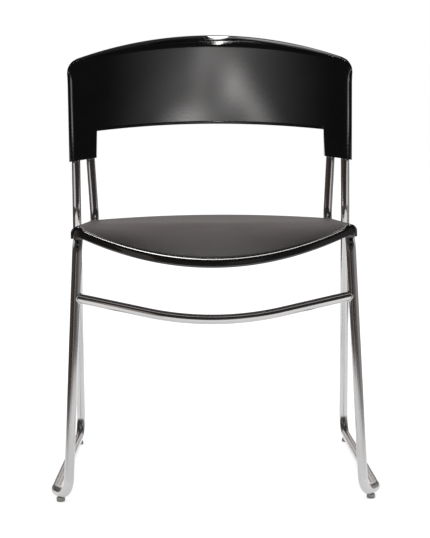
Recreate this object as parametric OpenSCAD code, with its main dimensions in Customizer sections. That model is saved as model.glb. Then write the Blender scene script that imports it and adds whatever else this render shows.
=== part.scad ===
// Sled base visitor chair: two bent tube side frames, two stretchers, a moulded seat and a moulded back.
// Depths are measured back from the line of the front glides, and placed() then centres the chair.
// Left is the -X side, as someone facing the chair sees it.

/* [Tube] */
// Outside diameter of the steel tube
tube_d = 16; // [14:0.5:18]
// Wall of the steel tube
tube_wall = 1.5; // [1:0.1:2.5]
// Diameter of the front stretcher tube
stretcher_d = 16; // [12:0.5:18]
// Diameter of the rear stretcher tube, hidden under the seat
rear_stretcher_d = 14; // [12:0.5:16]

/* [Seat rails] */
// Half the spacing of the rails at their front bends
rail_front_x = 219.5; // [210:0.5:228]
// Half the spacing of the rails at their rear bends
rail_rear_x = 217.5; // [210:0.5:226]
// Depth of the front bend's corner
rail_front_y = 4; // [0:1:15]
// Depth of the rear bend's corner
rail_rear_y = 404; // [385:1:420]
// Height of the rail's centre line at its front corner
rail_front_z = 440; // [420:1:460]
// Height of the rail's centre line at its rear corner
rail_rear_z = 424.5; // [410:0.5:440]
// Centre line radius of the bends at both ends of a rail
rail_bend_r = 35; // [25:1:45]

/* [Feet and runners] */
// Half the spacing of the front legs where they reach the floor
front_foot_x = 239.5; // [230:0.5:250]
// How far the front legs reach the floor ahead of the front glides
front_foot_lead = 22; // [15:1:30]
// Half the spacing of the runners at their widest, just behind the front feet
bulge_x = 264; // [258:0.5:275]
// Depth of the runners' widest point
bulge_y = 18; // [15:1:30]
// Half the spacing of the rear legs at the floor
rear_foot_x = 255.5; // [250:0.5:262]
// Depth of the rear foot's corner
rear_foot_y = 475; // [455:1:495]
// Centre line radius of the front foot bend
foot_bend_r = 26; // [22:1:28]
// Centre line radius where the foot swings back into the runner
bulge_bend_r = 30; // [20:1:40]
// Centre line radius of the rear foot bend
rear_foot_bend_r = 32; // [25:1:34]

/* [Uprights] */
// Half the spacing of the outer uprights at the kink beside the seat
kink_x = 251; // [247:0.5:256]
// Depth of the kink
kink_y = 398; // [390:1:405]
// Height of the kink
kink_z = 455; // [445:1:465]
// Centre line radius of the kink
kink_r = 60; // [40:5:100]
// Lean of the outer uprights and the back, degrees from upright
back_lean = 12; // [9:0.5:14]
// Height of the tube ends inside the back's sleeves
upright_top_z = 680; // [660:1:690]
// Half the spacing of the outer uprights at their ends
outer_top_x = 255; // [253:0.5:256]
// Half the spacing of the inner uprights at their ends
inner_top_x = 235; // [233:0.5:236]
// How far the inner uprights lie behind the outer ones at their ends
inner_setback = 6; // [4:0.5:8]

/* [Front stretcher] */
// Height where the stretcher meets the front legs
stretcher_z = 335; // [300:1:360]
// Drop of the corner that the stretcher's long bend rounds off
stretcher_drop = 44; // [30:1:50]
// Forward reach of that corner
stretcher_reach = 37; // [25:1:45]
// Centre line radius of the long bend
stretcher_bend_r = 430; // [350:10:480]

/* [Rear stretcher] */
// Depth of the rear stretcher's centre line
rear_stretcher_y = 340; // [300:1:355]
// How far its centre line lies below the rails'
rear_stretcher_below = 2; // [1:0.5:4]

/* [Seat] */
// Wall of the moulded seat
seat_wall = 2.5; // [2:0.1:3.5]
// Clearance between the seat and the rails
seat_fit = 0.3; // [0.2:0.05:0.5]
// How far the seat's sides reach below the rails' centre lines
skirt_drop = 9; // [6:0.5:9.5]
// How far the corners' top edge lies ahead of the front glides
seat_corner_lead = 3.5; // [3:0.5:8]
// Forward bow of the front edge between its corners
seat_nose_bow = 31; // [20:1:40]
// Dip of the front edge between its corners
seat_dip = 52; // [40:0.5:58]
// Depth of the part of the seat that falls towards the front edge
waterfall_depth = 190; // [140:5:220]
// Height of the front lip
lip_h = 14.5; // [12:0.5:17]
// Radius over the front and rear edges
lip_r = 6.5; // [4:0.5:8]
// Depth of the rear edge at the rails
seat_rear_y = 360; // [340:1:362]
// Backward bow of the rear edge between the rails
seat_rear_bow = 35; // [20:1:40]
// Crown of the rear edge between the rails
seat_rear_crown = 7.5; // [0:0.5:10]

/* [Seat fixings] */
// Depth of the front pair of tabs
front_tab_y = 90; // [70:1:120]
// Depth of the rear pair of tabs
rear_tab_y = 300; // [260:1:315]
// Length of a tab along the rail
tab_l = 30; // [24:1:40]
// Reach of a tab from the rail's centre line
tab_reach = 26; // [24:0.5:30]
// Thickness of a tab
tab_t = 3; // [2:0.5:4]
// How far a tab's top lies below the rail's centre line
tab_below = 1; // [0:0.5:3]
// Distance of a tab's hole from the rail's centre line
tab_hole_in = 17; // [16:0.5:18]
// Diameter of the seat's screw bosses
boss_d = 10; // [9:0.5:12]

/* [Back] */
// Half the width of the back at the bottom of its sleeves
back_bottom_x = 264.5; // [264:0.5:268]
// Half the width of the back at its top corners
back_top_x = 270; // [267:0.5:272]
// Height of the back's top edge at the middle
back_top_z = 782; // [765:1:795]
// Radius of the arched top edge
back_arch_r = 690; // [600:10:900]
// Radius of the top corners
back_corner_r = 18; // [12:1:24]
// Height of the lower edge beside the sleeves
back_low_z = 600; // [590:1:615]
// Rise of the lower edge at the middle
back_low_rise = 12; // [0:1:16]
// Height of the sleeves' lower ends at their outer side
sleeve_bottom_z = 543; // [535:1:550]
// How much higher the sleeves end at their inner side
sleeve_bottom_rise = 7.5; // [0:0.5:9]
// Half the gap between the sleeves
sleeve_in_x = 213; // [211.5:0.5:213.5]
// Depth of a sleeve from front to rear
sleeve_depth = 26; // [25:0.5:30]
// Wall of the back's panel
back_wall = 4.5; // [3.5:0.5:6]
// Backward bow of the back between its sides
back_bow = 45; // [40:1:48]
// Radius of the rolled top edge at the middle
roll_r = 28; // [20:1:32]
// Radius of the rolled top edge at the corners
roll_corner_r = 7; // [6.5:0.5:10]
// Clearance of the uprights in the sleeves, on the radius
sleeve_fit = 0.2; // [0.1:0.05:0.3]

/* [Screws and glides] */
// Diameter of a screw's shank
screw_d = 4; // [3.5:0.1:4.5]
// Diameter of a screw's head
screw_head_d = 8; // [7:0.5:9]
// Height of a screw's head
screw_head_h = 2.4; // [2:0.1:3]
// Width across the flats of the socket in a screw's head
screw_socket = 2.5; // [2:0.5:3]
// Length of a seat screw under its head
seat_screw_l = 11; // [10:0.5:11.5]
// Length of a back screw under its head
back_screw_l = 9; // [8:0.5:11]
// How far the back screws lie above the sleeves' lower ends
back_screw_rise = 61; // [50:1:90]
// Clearance round a screw or a glide's stem, on the radius
screw_fit = 0.15; // [0.1:0.05:0.3]
// Diameter of a glide
glide_d = 14; // [12:0.5:15]
// Height of a glide
glide_h = 7; // [5:0.5:9]
// Chamfer round the foot of a glide
glide_chamfer = 1.2; // [0.5:0.1:2]
// Diameter of a glide's stem
glide_stem_d = 6; // [5:0.5:7]
// Length of a glide's stem
glide_stem_l = 9; // [6:0.5:11]

/* [Hidden] */
$fn = 96;

// How far a cut runs past what it cuts
overrun = 1;
// How far the bead at the end of a bend stands proud, and the gap in the straight that it fills
bead = tube_d / 200;
bead_gap = tube_d / 50;
tube_r = tube_d / 2;
runner_z = glide_h + tube_r;

// Corners of one side frame's centre line, from the inner upright's end to the outer upright's
outer_top = [outer_top_x, kink_y + (upright_top_z - kink_z) * tan(back_lean), upright_top_z];
inner_top = [inner_top_x, outer_top.y + inner_setback, upright_top_z];
rail_rear = [rail_rear_x, rail_rear_y, rail_rear_z];
rail_front = [rail_front_x, rail_front_y, rail_front_z];
foot_front = [front_foot_x, -front_foot_lead, runner_z];
bulge = [bulge_x, bulge_y, runner_z];
foot_rear = [rear_foot_x, rear_foot_y, runner_z];
kink = [kink_x, kink_y, kink_z];
frame_path = [[inner_top, 0], [rail_rear, rail_bend_r], [rail_front, rail_bend_r],
    [foot_front, foot_bend_r], [bulge, bulge_bend_r], [foot_rear, rear_foot_bend_r],
    [kink, kink_r], [outer_top, 0]];

// Where the glides stand, as shares of the stretches of tube that they are under
front_glide_share = 0.6;
rear_glide_share = 0.92;
front_glide_at = between(foot_front, bulge, front_glide_share);
rear_glide_at = between(bulge, foot_rear, rear_glide_share);

// Turns over the back's rolled top edge, in degrees from straight ahead
roll_turns = [115, 100, 85, 70, 50, 30];

// Depth of the seat's and the back's outermost faces, which the chair is centred between
seat_corner_y = -seat_corner_lead;
seat_front_y = seat_corner_y - seat_nose_bow - lip_r;
stretcher_end = on_line(foot_front, rail_front, stretcher_z) - [tube_d / 8, 0, 0];
stretcher_mid = stretcher_end - [stretcher_end.x, stretcher_reach, stretcher_drop];
stretcher_path = [[stretcher_end, 0], [stretcher_mid, stretcher_bend_r], [across(stretcher_end), 0]];
stretcher_front_y = bend_middle(stretcher_path, 1).y - stretcher_d / 2;
front_y = min(seat_front_y, stretcher_front_y);
rear_y = back_point(0, roll_turns[0], roll_r).y;
mid_y = (front_y + rear_y) / 2;

// Outer radius of the seat's sides round the rails, and the inner one
seat_side_r = tube_r + seat_fit + seat_wall;
seat_inner_r = tube_r + seat_fit;
// Shares of the half width where the dip of the front edge would end, and where the panel meets the sides
dip_end_share = 1.02;
panel_share = 0.954;
// Columns of the seat: shares of the half width across the panel
seat_panel_shares = [for (i = [-8:8]) i / 8 * panel_share];
// Turns of the seat's side round the rail, in degrees from straight out
seat_side_turns = [0, 22.5, 45, 67.5, 90, 112.5, 135];
turns_to_top = 5;
seat_rows = 12;
lip_turns = [30, 60, 90];

// Columns of the back: shares of the panel's half width, and shares of a sleeve's width
back_panel_shares = [for (i = [-7:7]) i / 7];
sleeve_shares = [0.03, 0.2, 0.5, 0.8, 0.88, 0.94, 0.98, 1];
back_rows = 9;
// Share of the sleeve's width that its edge rounding takes, and the share of its depth
sleeve_round_share = 0.2;
sleeve_edge_share = 0.3;
// Heights, as shares of the tube end's, between which a sleeve fades into the panel
fade_low_share = 1.01;
fade_high_share = 1.045;

function unit(v) = v / norm(v);
function between(a, b, share) = a + (b - a) * share;
function across(p) = [-p.x, p.y, p.z];
// Point at height z on the line through a and b
function on_line(a, b, z) = between(a, b, (z - a.z) / (b.z - a.z));
// Point at depth y on the rail's straight line
function on_rail(y) = between(rail_front, rail_rear, (y - rail_front.y) / (rail_rear.y - rail_front.y));
// Centre of the outer upright at height z
function outer_upright(z) = on_line(kink, outer_top, z);

// Direction of a path's straight i, and the turn at its corner i in degrees
function heading(p, i) = unit(p[i + 1][0] - p[i][0]);
function turn_at(p, i) = acos(heading(p, i - 1) * heading(p, i));
// Length that a corner's bend takes from each of its two straights
function reach_at(p, i) = i == 0 || i == len(p) - 1 ? 0 : p[i][1] * tan(turn_at(p, i) / 2);
// Points where a path's straight i starts and ends
function straight_start(p, i) = p[i][0] + heading(p, i) * reach_at(p, i);
function straight_end(p, i) = p[i + 1][0] - heading(p, i) * reach_at(p, i + 1);
// Direction to a bend's centre from where it starts
function inward(p, i) = let(a = heading(p, i - 1), b = heading(p, i)) unit(b - (a * b) * a);
function bend_centre(p, i) =
    straight_end(p, i - 1) + inward(p, i) * p[i][1];
// Middle of a bend's centre line
function bend_middle(p, i) = bend_centre(p, i) + unit(p[i][0] - bend_centre(p, i)) * p[i][1];

// Turns +Z to the direction d
module aim(d) {
    rotate([0, acos(d.z / norm(d)), atan2(d.y, d.x)]) children();
}

// Straight rod from a to b, run on by lap at both ends
module rod(a, b, r, lap = 0) {
    translate(a - unit(b - a) * lap) aim(b - a) cylinder(r = r, h = norm(b - a) + 2 * lap);
}

// Bend at corner i of a path
module bend(p, i, r) {
    out = -inward(p, i);
    along = heading(p, i - 1);
    up = cross(out, along);
    centre = bend_centre(p, i);
    multmatrix([[out.x, along.x, up.x, centre.x],
        [out.y, along.y, up.y, centre.y],
        [out.z, along.z, up.z, centre.z]])
        rotate_extrude(angle = turn_at(p, i)) translate([p[i][1], 0]) circle(r);
}

// Rod bent along a path of [corner, bend radius], run on by lap at both ends. A slight bead joins each bend
// to its straights, so that no two tangent skins meet.
module bent_rod(p, r, lap) {
    last = len(p) - 2;
    for (i = [0:last]) {
        start = straight_start(p, i) + heading(p, i) * (i == 0 ? -lap : bead_gap);
        end = straight_end(p, i) - heading(p, i) * (i == last ? -lap : bead_gap);
        rod(start, end, r);
    }
    for (i = [1:last]) {
        bend(p, i, r);
        translate(straight_end(p, i - 1)) aim(heading(p, i - 1)) sphere(r + bead);
        translate(straight_start(p, i)) aim(heading(p, i)) sphere(r + bead);
    }
}

// Rod of one long bend, which is fatter by the bead than the straights that run into it
module bowed_rod(p, r, lap) {
    rod(straight_start(p, 0) - heading(p, 0) * lap, straight_end(p, 0) + heading(p, 0) * bead_gap, r);
    rod(straight_start(p, 1) - heading(p, 1) * bead_gap, straight_end(p, 1) + heading(p, 1) * lap, r);
    bend(p, 1, r + bead);
}

// Bent tube along a path
module bent_tube(p, r, wall) {
    difference() {
        bent_rod(p, r, 0);
        bent_rod(p, r - wall, overrun);
    }
}

module placed() {
    translate([0, -mid_y, 0]) children();
}

// The -X copy of something drawn on the +X side
module left() {
    mirror([1, 0, 0]) children();
}

module side_frame() {
    color("silver") placed() difference() {
        bent_tube(frame_path, tube_r, tube_wall);
        for (at = [front_glide_at, rear_glide_at]) translate([at.x, at.y, 0])
            cylinder(r = glide_stem_d / 2 + screw_fit, h = runner_z);
        back_screw_axis() cylinder(r = screw_d / 2 + screw_fit, h = tube_d);
    }
}

module frame_left() {
    left() side_frame();
}

module frame_right() {
    side_frame();
}

// Curved tube between the front legs, coped to them
module front_stretcher() {
    leg_low = on_line(foot_front, rail_front, stretcher_z - stretcher_drop);
    leg_high = on_line(foot_front, rail_front, stretcher_z + stretcher_drop);
    color("silver") placed() difference() {
        bowed_rod(stretcher_path, stretcher_d / 2, 0);
        bowed_rod(stretcher_path, stretcher_d / 2 - tube_wall, overrun);
        rod(leg_low, leg_high, tube_r);
        left() rod(leg_low, leg_high, tube_r);
    }
}

// Straight tube between the rails under the seat, coped to them
module rear_stretcher() {
    end = on_rail(rear_stretcher_y) - [0, 0, rear_stretcher_below];
    rail_a = on_rail(rear_stretcher_y - tube_d);
    rail_b = on_rail(rear_stretcher_y + tube_d);
    color("silver") placed() difference() {
        rod(across(end), end, rear_stretcher_d / 2);
        rod(across(end), end, rear_stretcher_d / 2 - tube_wall, overrun);
        rod(rail_a, rail_b, tube_r);
        left() rod(rail_a, rail_b, tube_r);
    }
}

// Height of the seat's top face over depth y at a share s of its half width
function seat_front_at(s) = seat_corner_y - seat_nose_bow * (1 - s * s);
function seat_rear_at(s) = seat_rear_y + seat_rear_bow * (1 - s * s);
function dip_at(s) = seat_dip * (1 - pow(s / dip_end_share, 2));
function fall_at(s, y) = pow(max(0, 1 - (y - seat_front_at(s)) / waterfall_depth), 2);
function crown_at(s, y) = seat_rear_crown * (1 - s * s) * pow(max(0, y / seat_rear_at(s)), 2);
function seat_top_z(s, y) =
    on_rail(y).z + seat_side_r - dip_at(s) * fall_at(s, y) + crown_at(s, y);

// A row of the seat: [share from the rear edge to the front, turn over the rear lip, turn over the front lip,
// share down the front lip]
seat_row_list = [for (turn = [90, 45]) [0, turn, 0, 0],
    for (j = [0:seat_rows]) [j / seat_rows, 0, 0, 0],
    for (turn = lip_turns) [1, 0, turn, 0],
    [1, 0, 90, 1]];

// Height of the panel's outer face (inset 0) or its inner one (inset seat_wall), lips included
function panel_level(s, y, row, inset) =
    seat_top_z(s, y) - inset - (lip_r - inset) * (2 - cos(row[1]) - cos(row[2]));
function seat_panel_point(s, row, inset) = let(
    y = seat_rear_at(s) + (seat_front_at(s) - seat_rear_at(s)) * row[0],
    r = lip_r - inset)
    [s * on_rail(y).x, y + r * sin(row[1]) - r * sin(row[2]),
        row[3] > 0 ? seat_top_z(s, y) - lip_h : panel_level(s, y, row, inset)];

// Point of the seat's side round the rail: k 0 is the skirt's lower edge, then the turns. Past the top the
// side goes down the inside of the rail only as far as the panel lies below it.
function seat_side_point(k, side, row, inset) = let(
    y = seat_rear_at(1) + (seat_front_at(1) - seat_rear_at(1)) * row[0],
    r = lip_r - inset,
    radius = seat_side_r - inset - r * (1 - cos(row[2])),
    rail = on_rail(y),
    turn = k == 0 ? 0 : seat_side_turns[k - 1],
    spread = 1 - (k + 1 / 2) / (turns_to_top + 1 / 2),
    past = k > turns_to_top,
    level = panel_level(1 + radius * cos(turn) / rail.x, y, row, inset) - rail.z,
    round_z = k == 0 ? -skirt_drop : radius * sin(turn),
    out = row[3] > 0 && !past ? radius * spread : radius * cos(turn),
    up = row[3] > 0 ? -skirt_drop - lip_r / 4 : past ? max(round_z, level) : round_z)
    [side * (rail.x + out), y + r * sin(row[1]) - r * sin(row[2]), rail.z + up];

// Columns of the seat from the left skirt to the right one, each a list of points over the rows
function seat_face(inset) = concat(
    [for (k = [0:len(seat_side_turns)]) [for (row = seat_row_list) seat_side_point(k, -1, row, inset)]],
    [for (s = seat_panel_shares) [for (row = seat_row_list) seat_panel_point(s, row, inset)]],
    [for (k = [len(seat_side_turns):-1:0]) [for (row = seat_row_list) seat_side_point(k, 1, row, inset)]]);

// Closed sheet between an outer and an inner face, each a list of columns of points
module sheet(outer, inner) {
    nu = len(outer);
    nv = len(outer[0]);
    n = nu * nv;
    points = [for (face = [outer, inner]) for (column = face) for (p = column) p];
    quads = concat(
        [for (i = [0:nu - 2]) for (j = [0:nv - 2]) let(a = i * nv + j) [a, a + nv, a + nv + 1, a + 1]],
        [for (i = [0:nu - 2]) for (j = [0:nv - 2]) let(a = n + i * nv + j) [a, a + 1, a + nv + 1, a + nv]],
        [for (i = [0:nu - 2]) let(a = i * nv) [a + nv, a, a + n, a + nv + n]],
        [for (i = [0:nu - 2]) let(a = i * nv + nv - 1) [a, a + nv, a + nv + n, a + n]],
        [for (j = [0:nv - 2]) let(a = j) [a, a + 1, a + 1 + n, a + n]],
        [for (j = [0:nv - 2]) let(a = n - nv + j) [a + 1, a, a + n, a + 1 + n]]);
    polyhedron(points, [for (q = quads) for (k = [1, 2]) [q[0], q[k], q[k + 1]]], convexity = 8);
}

// Centre of a tab's hole at its top face
function tab_hole(y) = on_rail(y) - [tab_hole_in, 0, tab_below];

// Moulded seat with its sides turned down over the rails and a screw boss over each tab
module seat_shell() {
    color([0.12, 0.11, 0.11]) placed() difference() {
        union() {
            sheet(seat_face(0), seat_face(seat_wall));
            for (y = [front_tab_y, rear_tab_y]) for (side = [0, 1]) mirror([side, 0, 0]) {
                at = tab_hole(y);
                top = seat_top_z(at.x / on_rail(y).x, y) - seat_wall / 2;
                translate(at) cylinder(d = boss_d, h = top - at.z);
            }
        }
        for (y = [front_tab_y, rear_tab_y]) for (side = [0, 1]) mirror([side, 0, 0])
            translate(tab_hole(y) - [0, 0, overrun])
                cylinder(r = screw_d / 2 + screw_fit, h = seat_screw_l - tab_t + screw_fit + overrun);
    }
}

// Front face of the back at half width x and height z, before the edges are rounded
function side_face_y(z) = outer_upright(z).y - sleeve_depth / 2 - back_bow
    * (1 - pow(outer_upright(sleeve_bottom_z).x / back_bottom_x, 2));
function face_y(x, z) = side_face_y(z) + back_bow * (1 - pow(x / back_bottom_x, 2));
function half_width(z) = back_bottom_x
    + (back_top_x - back_bottom_x) * min(1, (z - sleeve_bottom_z) / (back_top_z - sleeve_bottom_z));
// Height of the top edge, arched and with round corners
function corner_in(x) = max(0, abs(x) * back_top_x / back_bottom_x - (back_top_x - back_corner_r));
function top_z(x) = back_top_z - back_arch_r + sqrt(pow(back_arch_r, 2) - x * x)
    - back_corner_r + sqrt(max(0, pow(back_corner_r, 2) - pow(corner_in(x), 2)));
function roll_at(x) = roll_r + (roll_corner_r - roll_r) * pow(abs(x) / back_top_x, 2);
// Height of the lower edge: the panel's, or a sleeve's
function low_z(x) = abs(x) < sleeve_in_x ? back_low_z + back_low_rise * (1 - pow(x / sleeve_in_x, 2))
    : sleeve_bottom_z + sleeve_bottom_rise * (back_bottom_x - abs(x)) / (back_bottom_x - sleeve_in_x);
// Point on the rolled top edge: turn is 0 for straight ahead and 90 at the top, r is the face's radius
function back_point(x, turn, r) = let(
    roll = roll_at(x),
    centre_z = top_z(x) - roll,
    start_z = centre_z + roll * sin(back_lean),
    centre_y = face_y(x, start_z) + roll * cos(back_lean))
    [x, centre_y - r * cos(turn), centre_z + r * sin(turn)];
// Depth of the back behind its front face
function fade(z) = let(low = upright_top_z * fade_low_share, high = upright_top_z * fade_high_share)
    min(1, max(0, (high - z) / (high - low)));
function depth_at(x, z) = back_wall
    + (abs(x) > sleeve_in_x ? (sleeve_depth - back_wall) * fade(z) : 0);
// Rounding of a sleeve's outer edge, as a share of the back's depth there
function edge_share(x) = let(
    in = (abs(x) - sleeve_in_x) / (back_bottom_x - sleeve_in_x) - (1 - sleeve_round_share))
    in > 0 ? sleeve_edge_share * (1 - sqrt(max(0, 1 - pow(in / sleeve_round_share, 2)))) : 0;

function back_column(x, rear) = let(
    roll = roll_at(x),
    start = back_point(x, back_lean, roll),
    roll_points = [for (turn = roll_turns) let(p = back_point(x, turn, rear ? roll - back_wall : roll))
        [p.x * half_width(p.z) / back_bottom_x, p.y, p.z]],
    face_points = [for (j = [back_rows:-1:0]) let(
        z = low_z(x) + (start.z - low_z(x)) * j / back_rows,
        wide = x * half_width(z) / back_bottom_x,
        deep = depth_at(x, z))
        [wide, face_y(x, z) + deep * (rear ? 1 - edge_share(x) : edge_share(x)), z]])
    concat(roll_points, face_points);

back_columns = concat(
    [for (k = [len(sleeve_shares) - 1:-1:0]) -sleeve_in_x - (back_bottom_x - sleeve_in_x) * sleeve_shares[k]],
    [for (s = back_panel_shares) s * sleeve_in_x * (1 - sleeve_shares[0] / len(sleeve_shares))],
    [for (share = sleeve_shares) sleeve_in_x + (back_bottom_x - sleeve_in_x) * share]);

// Axis of a back screw, from the outer upright's centre straight out of the sleeve's rear
module back_screw_axis() {
    along = unit(outer_top - kink);
    lean = asin(along.y / norm([along.y, along.z]));
    translate(outer_upright(sleeve_bottom_z + back_screw_rise)) rotate([-90 - lean, 0, 0])
        children();
}
// Distance of the seat of a back screw's head from the upright's centre
back_screw_seat = tube_r + sleeve_fit + screw_head_h;

// Moulded back: a panel rolled over at its top, with a sleeve for two tube ends at each side
module backrest_shell() {
    along_outer = unit(outer_top - kink);
    along_inner = unit(inner_top - rail_rear);
    color([0.05, 0.05, 0.055]) placed() difference() {
        sheet([for (x = back_columns) back_column(x, false)], [for (x = back_columns) back_column(x, true)]);
        for (side = [0, 1]) mirror([side, 0, 0]) {
            rod(outer_upright(sleeve_bottom_z - tube_d), outer_top + along_outer, tube_r + sleeve_fit);
            rod(on_line(rail_rear, inner_top, sleeve_bottom_z - tube_d), inner_top + along_inner,
                tube_r + sleeve_fit);
            back_screw_axis() {
                cylinder(r = screw_d / 2 + screw_fit, h = sleeve_depth);
                translate([0, 0, back_screw_seat])
                    cylinder(r = screw_head_d / 2 + screw_fit, h = sleeve_depth);
            }
        }
    }
}

// Plate welded to a rail, with the hole for a seat screw
module seat_tab(y) {
    at = tab_hole(y);
    rail = on_rail(y);
    corner = tab_reach - tab_hole_in;
    color("silver") placed() difference() {
        translate([at.x, at.y, at.z - tab_t]) linear_extrude(tab_t) difference() {
            union() {
                translate([0, -tab_l / 2 + corner]) square([tab_hole_in, tab_l - 2 * corner]);
                translate([-corner, -tab_l / 2 + corner]) square([corner, tab_l - 2 * corner]);
                for (end = [-1, 1]) translate([0, end * (tab_l / 2 - corner)]) circle(corner);
                translate([0, -tab_l / 2]) square([tab_hole_in, tab_l]);
            }
            circle(screw_d / 2 + screw_fit);
        }
        rod(on_rail(y - tab_l), on_rail(y + tab_l), tube_r);
    }
}

module seat_tab_front_left() {
    left() seat_tab(front_tab_y);
}

module seat_tab_front_right() {
    seat_tab(front_tab_y);
}

module seat_tab_rear_left() {
    left() seat_tab(rear_tab_y);
}

module seat_tab_rear_right() {
    seat_tab(rear_tab_y);
}

// Pan head screw along +Z with its head below z 0 and a hexagon socket
module screw(shank_l) {
    difference() {
        union() {
            cylinder(d = screw_d, h = shank_l);
            translate([0, 0, -screw_head_h]) cylinder(d = screw_head_d, h = screw_head_h);
        }
        translate([0, 0, -screw_head_h - overrun])
            cylinder(r = screw_socket / sqrt(3), h = screw_head_h / 2 + overrun, $fn = 6);
    }
}

module seat_screw(y) {
    color("gray") placed() translate(tab_hole(y) - [0, 0, tab_t]) screw(seat_screw_l);
}

module seat_screw_front_left() {
    left() seat_screw(front_tab_y);
}

module seat_screw_front_right() {
    seat_screw(front_tab_y);
}

module seat_screw_rear_left() {
    left() seat_screw(rear_tab_y);
}

module seat_screw_rear_right() {
    seat_screw(rear_tab_y);
}

module back_screw() {
    color("gray") placed() back_screw_axis() translate([0, 0, back_screw_seat]) rotate([180, 0, 0])
        screw(back_screw_l);
}

module back_screw_left() {
    left() back_screw();
}

module back_screw_right() {
    back_screw();
}

// Turned glide under a runner, with a stem up into the tube
module glide(at) {
    r = glide_d / 2;
    stem_r = glide_stem_d / 2;
    color("dimgray") placed() translate([at.x, at.y, 0]) rotate_extrude() polygon([
        [0, 0], [r - glide_chamfer, 0], [r, glide_chamfer], [r, glide_h], [stem_r, glide_h],
        [stem_r, glide_h + glide_stem_l], [0, glide_h + glide_stem_l]]);
}

module glide_front_left() {
    left() glide(front_glide_at);
}

module glide_front_right() {
    glide(front_glide_at);
}

module glide_rear_left() {
    left() glide(rear_glide_at);
}

module glide_rear_right() {
    glide(rear_glide_at);
}

frame_left();
frame_right();
front_stretcher();
rear_stretcher();
seat_shell();
backrest_shell();
seat_tab_front_left();
seat_tab_front_right();
seat_tab_rear_left();
seat_tab_rear_right();
seat_screw_front_left();
seat_screw_front_right();
seat_screw_rear_left();
seat_screw_rear_right();
back_screw_left();
back_screw_right();
glide_front_left();
glide_front_right();
glide_rear_left();
glide_rear_right();
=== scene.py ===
import math

import bmesh
import bpy
from mathutils import Matrix, Vector


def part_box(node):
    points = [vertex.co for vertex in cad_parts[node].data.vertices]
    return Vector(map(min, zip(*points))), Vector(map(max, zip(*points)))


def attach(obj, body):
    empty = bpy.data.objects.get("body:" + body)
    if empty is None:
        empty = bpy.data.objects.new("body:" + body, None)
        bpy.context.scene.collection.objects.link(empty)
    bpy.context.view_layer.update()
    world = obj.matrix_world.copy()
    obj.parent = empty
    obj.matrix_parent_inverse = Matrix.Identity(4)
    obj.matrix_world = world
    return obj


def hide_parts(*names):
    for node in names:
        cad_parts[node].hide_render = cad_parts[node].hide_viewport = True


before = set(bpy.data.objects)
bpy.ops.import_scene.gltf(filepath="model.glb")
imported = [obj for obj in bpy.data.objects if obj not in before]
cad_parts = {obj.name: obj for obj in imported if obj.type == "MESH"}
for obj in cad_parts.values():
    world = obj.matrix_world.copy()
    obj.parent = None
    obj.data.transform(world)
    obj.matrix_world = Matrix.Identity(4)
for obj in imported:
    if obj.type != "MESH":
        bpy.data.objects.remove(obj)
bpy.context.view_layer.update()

# Side frames: each is one steel tube of 16 mm with a 1.5 mm wall, bent all the way round as inner upright,
# seat rail, front leg, spoon shaped foot, runner, rear leg and outer upright, then ground, polished and
# chromed. Both ends go up into the back's sleeve. Depths are measured from the line of the front glides.


class Signal:
    """One output of a node, which can be used in sums."""

    def __init__(self, tree, socket):
        self.tree = tree
        self.socket = socket

    def sum_with(self, operation, first, second):
        return add_node(self.tree, "ShaderNodeMath", {"operation": operation}, {0: first, 1: second})

    def __add__(self, other):
        return self.sum_with("ADD", self, other)

    __radd__ = __add__

    def __sub__(self, other):
        return self.sum_with("SUBTRACT", self, other)

    def __rsub__(self, other):
        return self.sum_with("SUBTRACT", other, self)

    def __mul__(self, other):
        return self.sum_with("MULTIPLY", self, other)

    __rmul__ = __mul__


def add_node(tree, kind, settings=None, sockets=None, output=0):
    """Adds a node, sets it up, fills or links its sockets, and returns one output."""
    made = tree.nodes.new(kind)
    for name, value in (settings or {}).items():
        if name == "stops":
            while len(made.color_ramp.elements) < len(value):
                made.color_ramp.elements.new(1)
            for element, (place, tone) in zip(made.color_ramp.elements, value):
                element.position = place
                element.color = (*tone, 1) if isinstance(tone, tuple) else (tone, tone, tone, 1)
        else:
            setattr(made, name, value)
    for key, value in (sockets or {}).items():
        if isinstance(value, Signal):
            tree.links.new(value.socket, made.inputs[key])
        else:
            made.inputs[key].default_value = value
    return Signal(tree, made.outputs[output]) if len(made.outputs) else made


def start_material(name):
    """An empty material, its tree and the piece's own coordinates."""
    material = bpy.data.materials.new(name)
    material.use_nodes = True
    material.node_tree.nodes.clear()
    place = add_node(material.node_tree, "ShaderNodeTexCoord", output="Object")
    return material, material.node_tree, place


def noise(tree, place, scale, detail=2.0, roughness=0.5):
    return add_node(tree, "ShaderNodeTexNoise", None,
                    {"Vector": place, "Scale": scale, "Detail": detail, "Roughness": roughness})


def ramp(tree, value, *stops):
    return add_node(tree, "ShaderNodeValToRGB", {"stops": stops}, {"Fac": value})


def bump(tree, height, strength, distance):
    return add_node(tree, "ShaderNodeBump", None,
                    {"Height": height, "Strength": strength, "Distance": distance})


def end_material(tree, sockets):
    shader = add_node(tree, "ShaderNodeBsdfPrincipled", None, sockets)
    add_node(tree, "ShaderNodeOutputMaterial", None, {"Surface": shader})


def start_recipe(name, sizes):
    """A geometry node tree with named inputs, and a signal for each input."""
    tree = bpy.data.node_groups.new(name, "GeometryNodeTree")
    tree.interface.new_socket("Geometry", in_out="INPUT", socket_type="NodeSocketGeometry")
    for label, kind in sizes.items():
        tree.interface.new_socket(label, in_out="INPUT", socket_type=kind)
    tree.interface.new_socket("Geometry", in_out="OUTPUT", socket_type="NodeSocketGeometry")
    entry = tree.nodes.new("NodeGroupInput")
    return tree, {socket.name: Signal(tree, socket) for socket in entry.outputs if socket.name}


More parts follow.
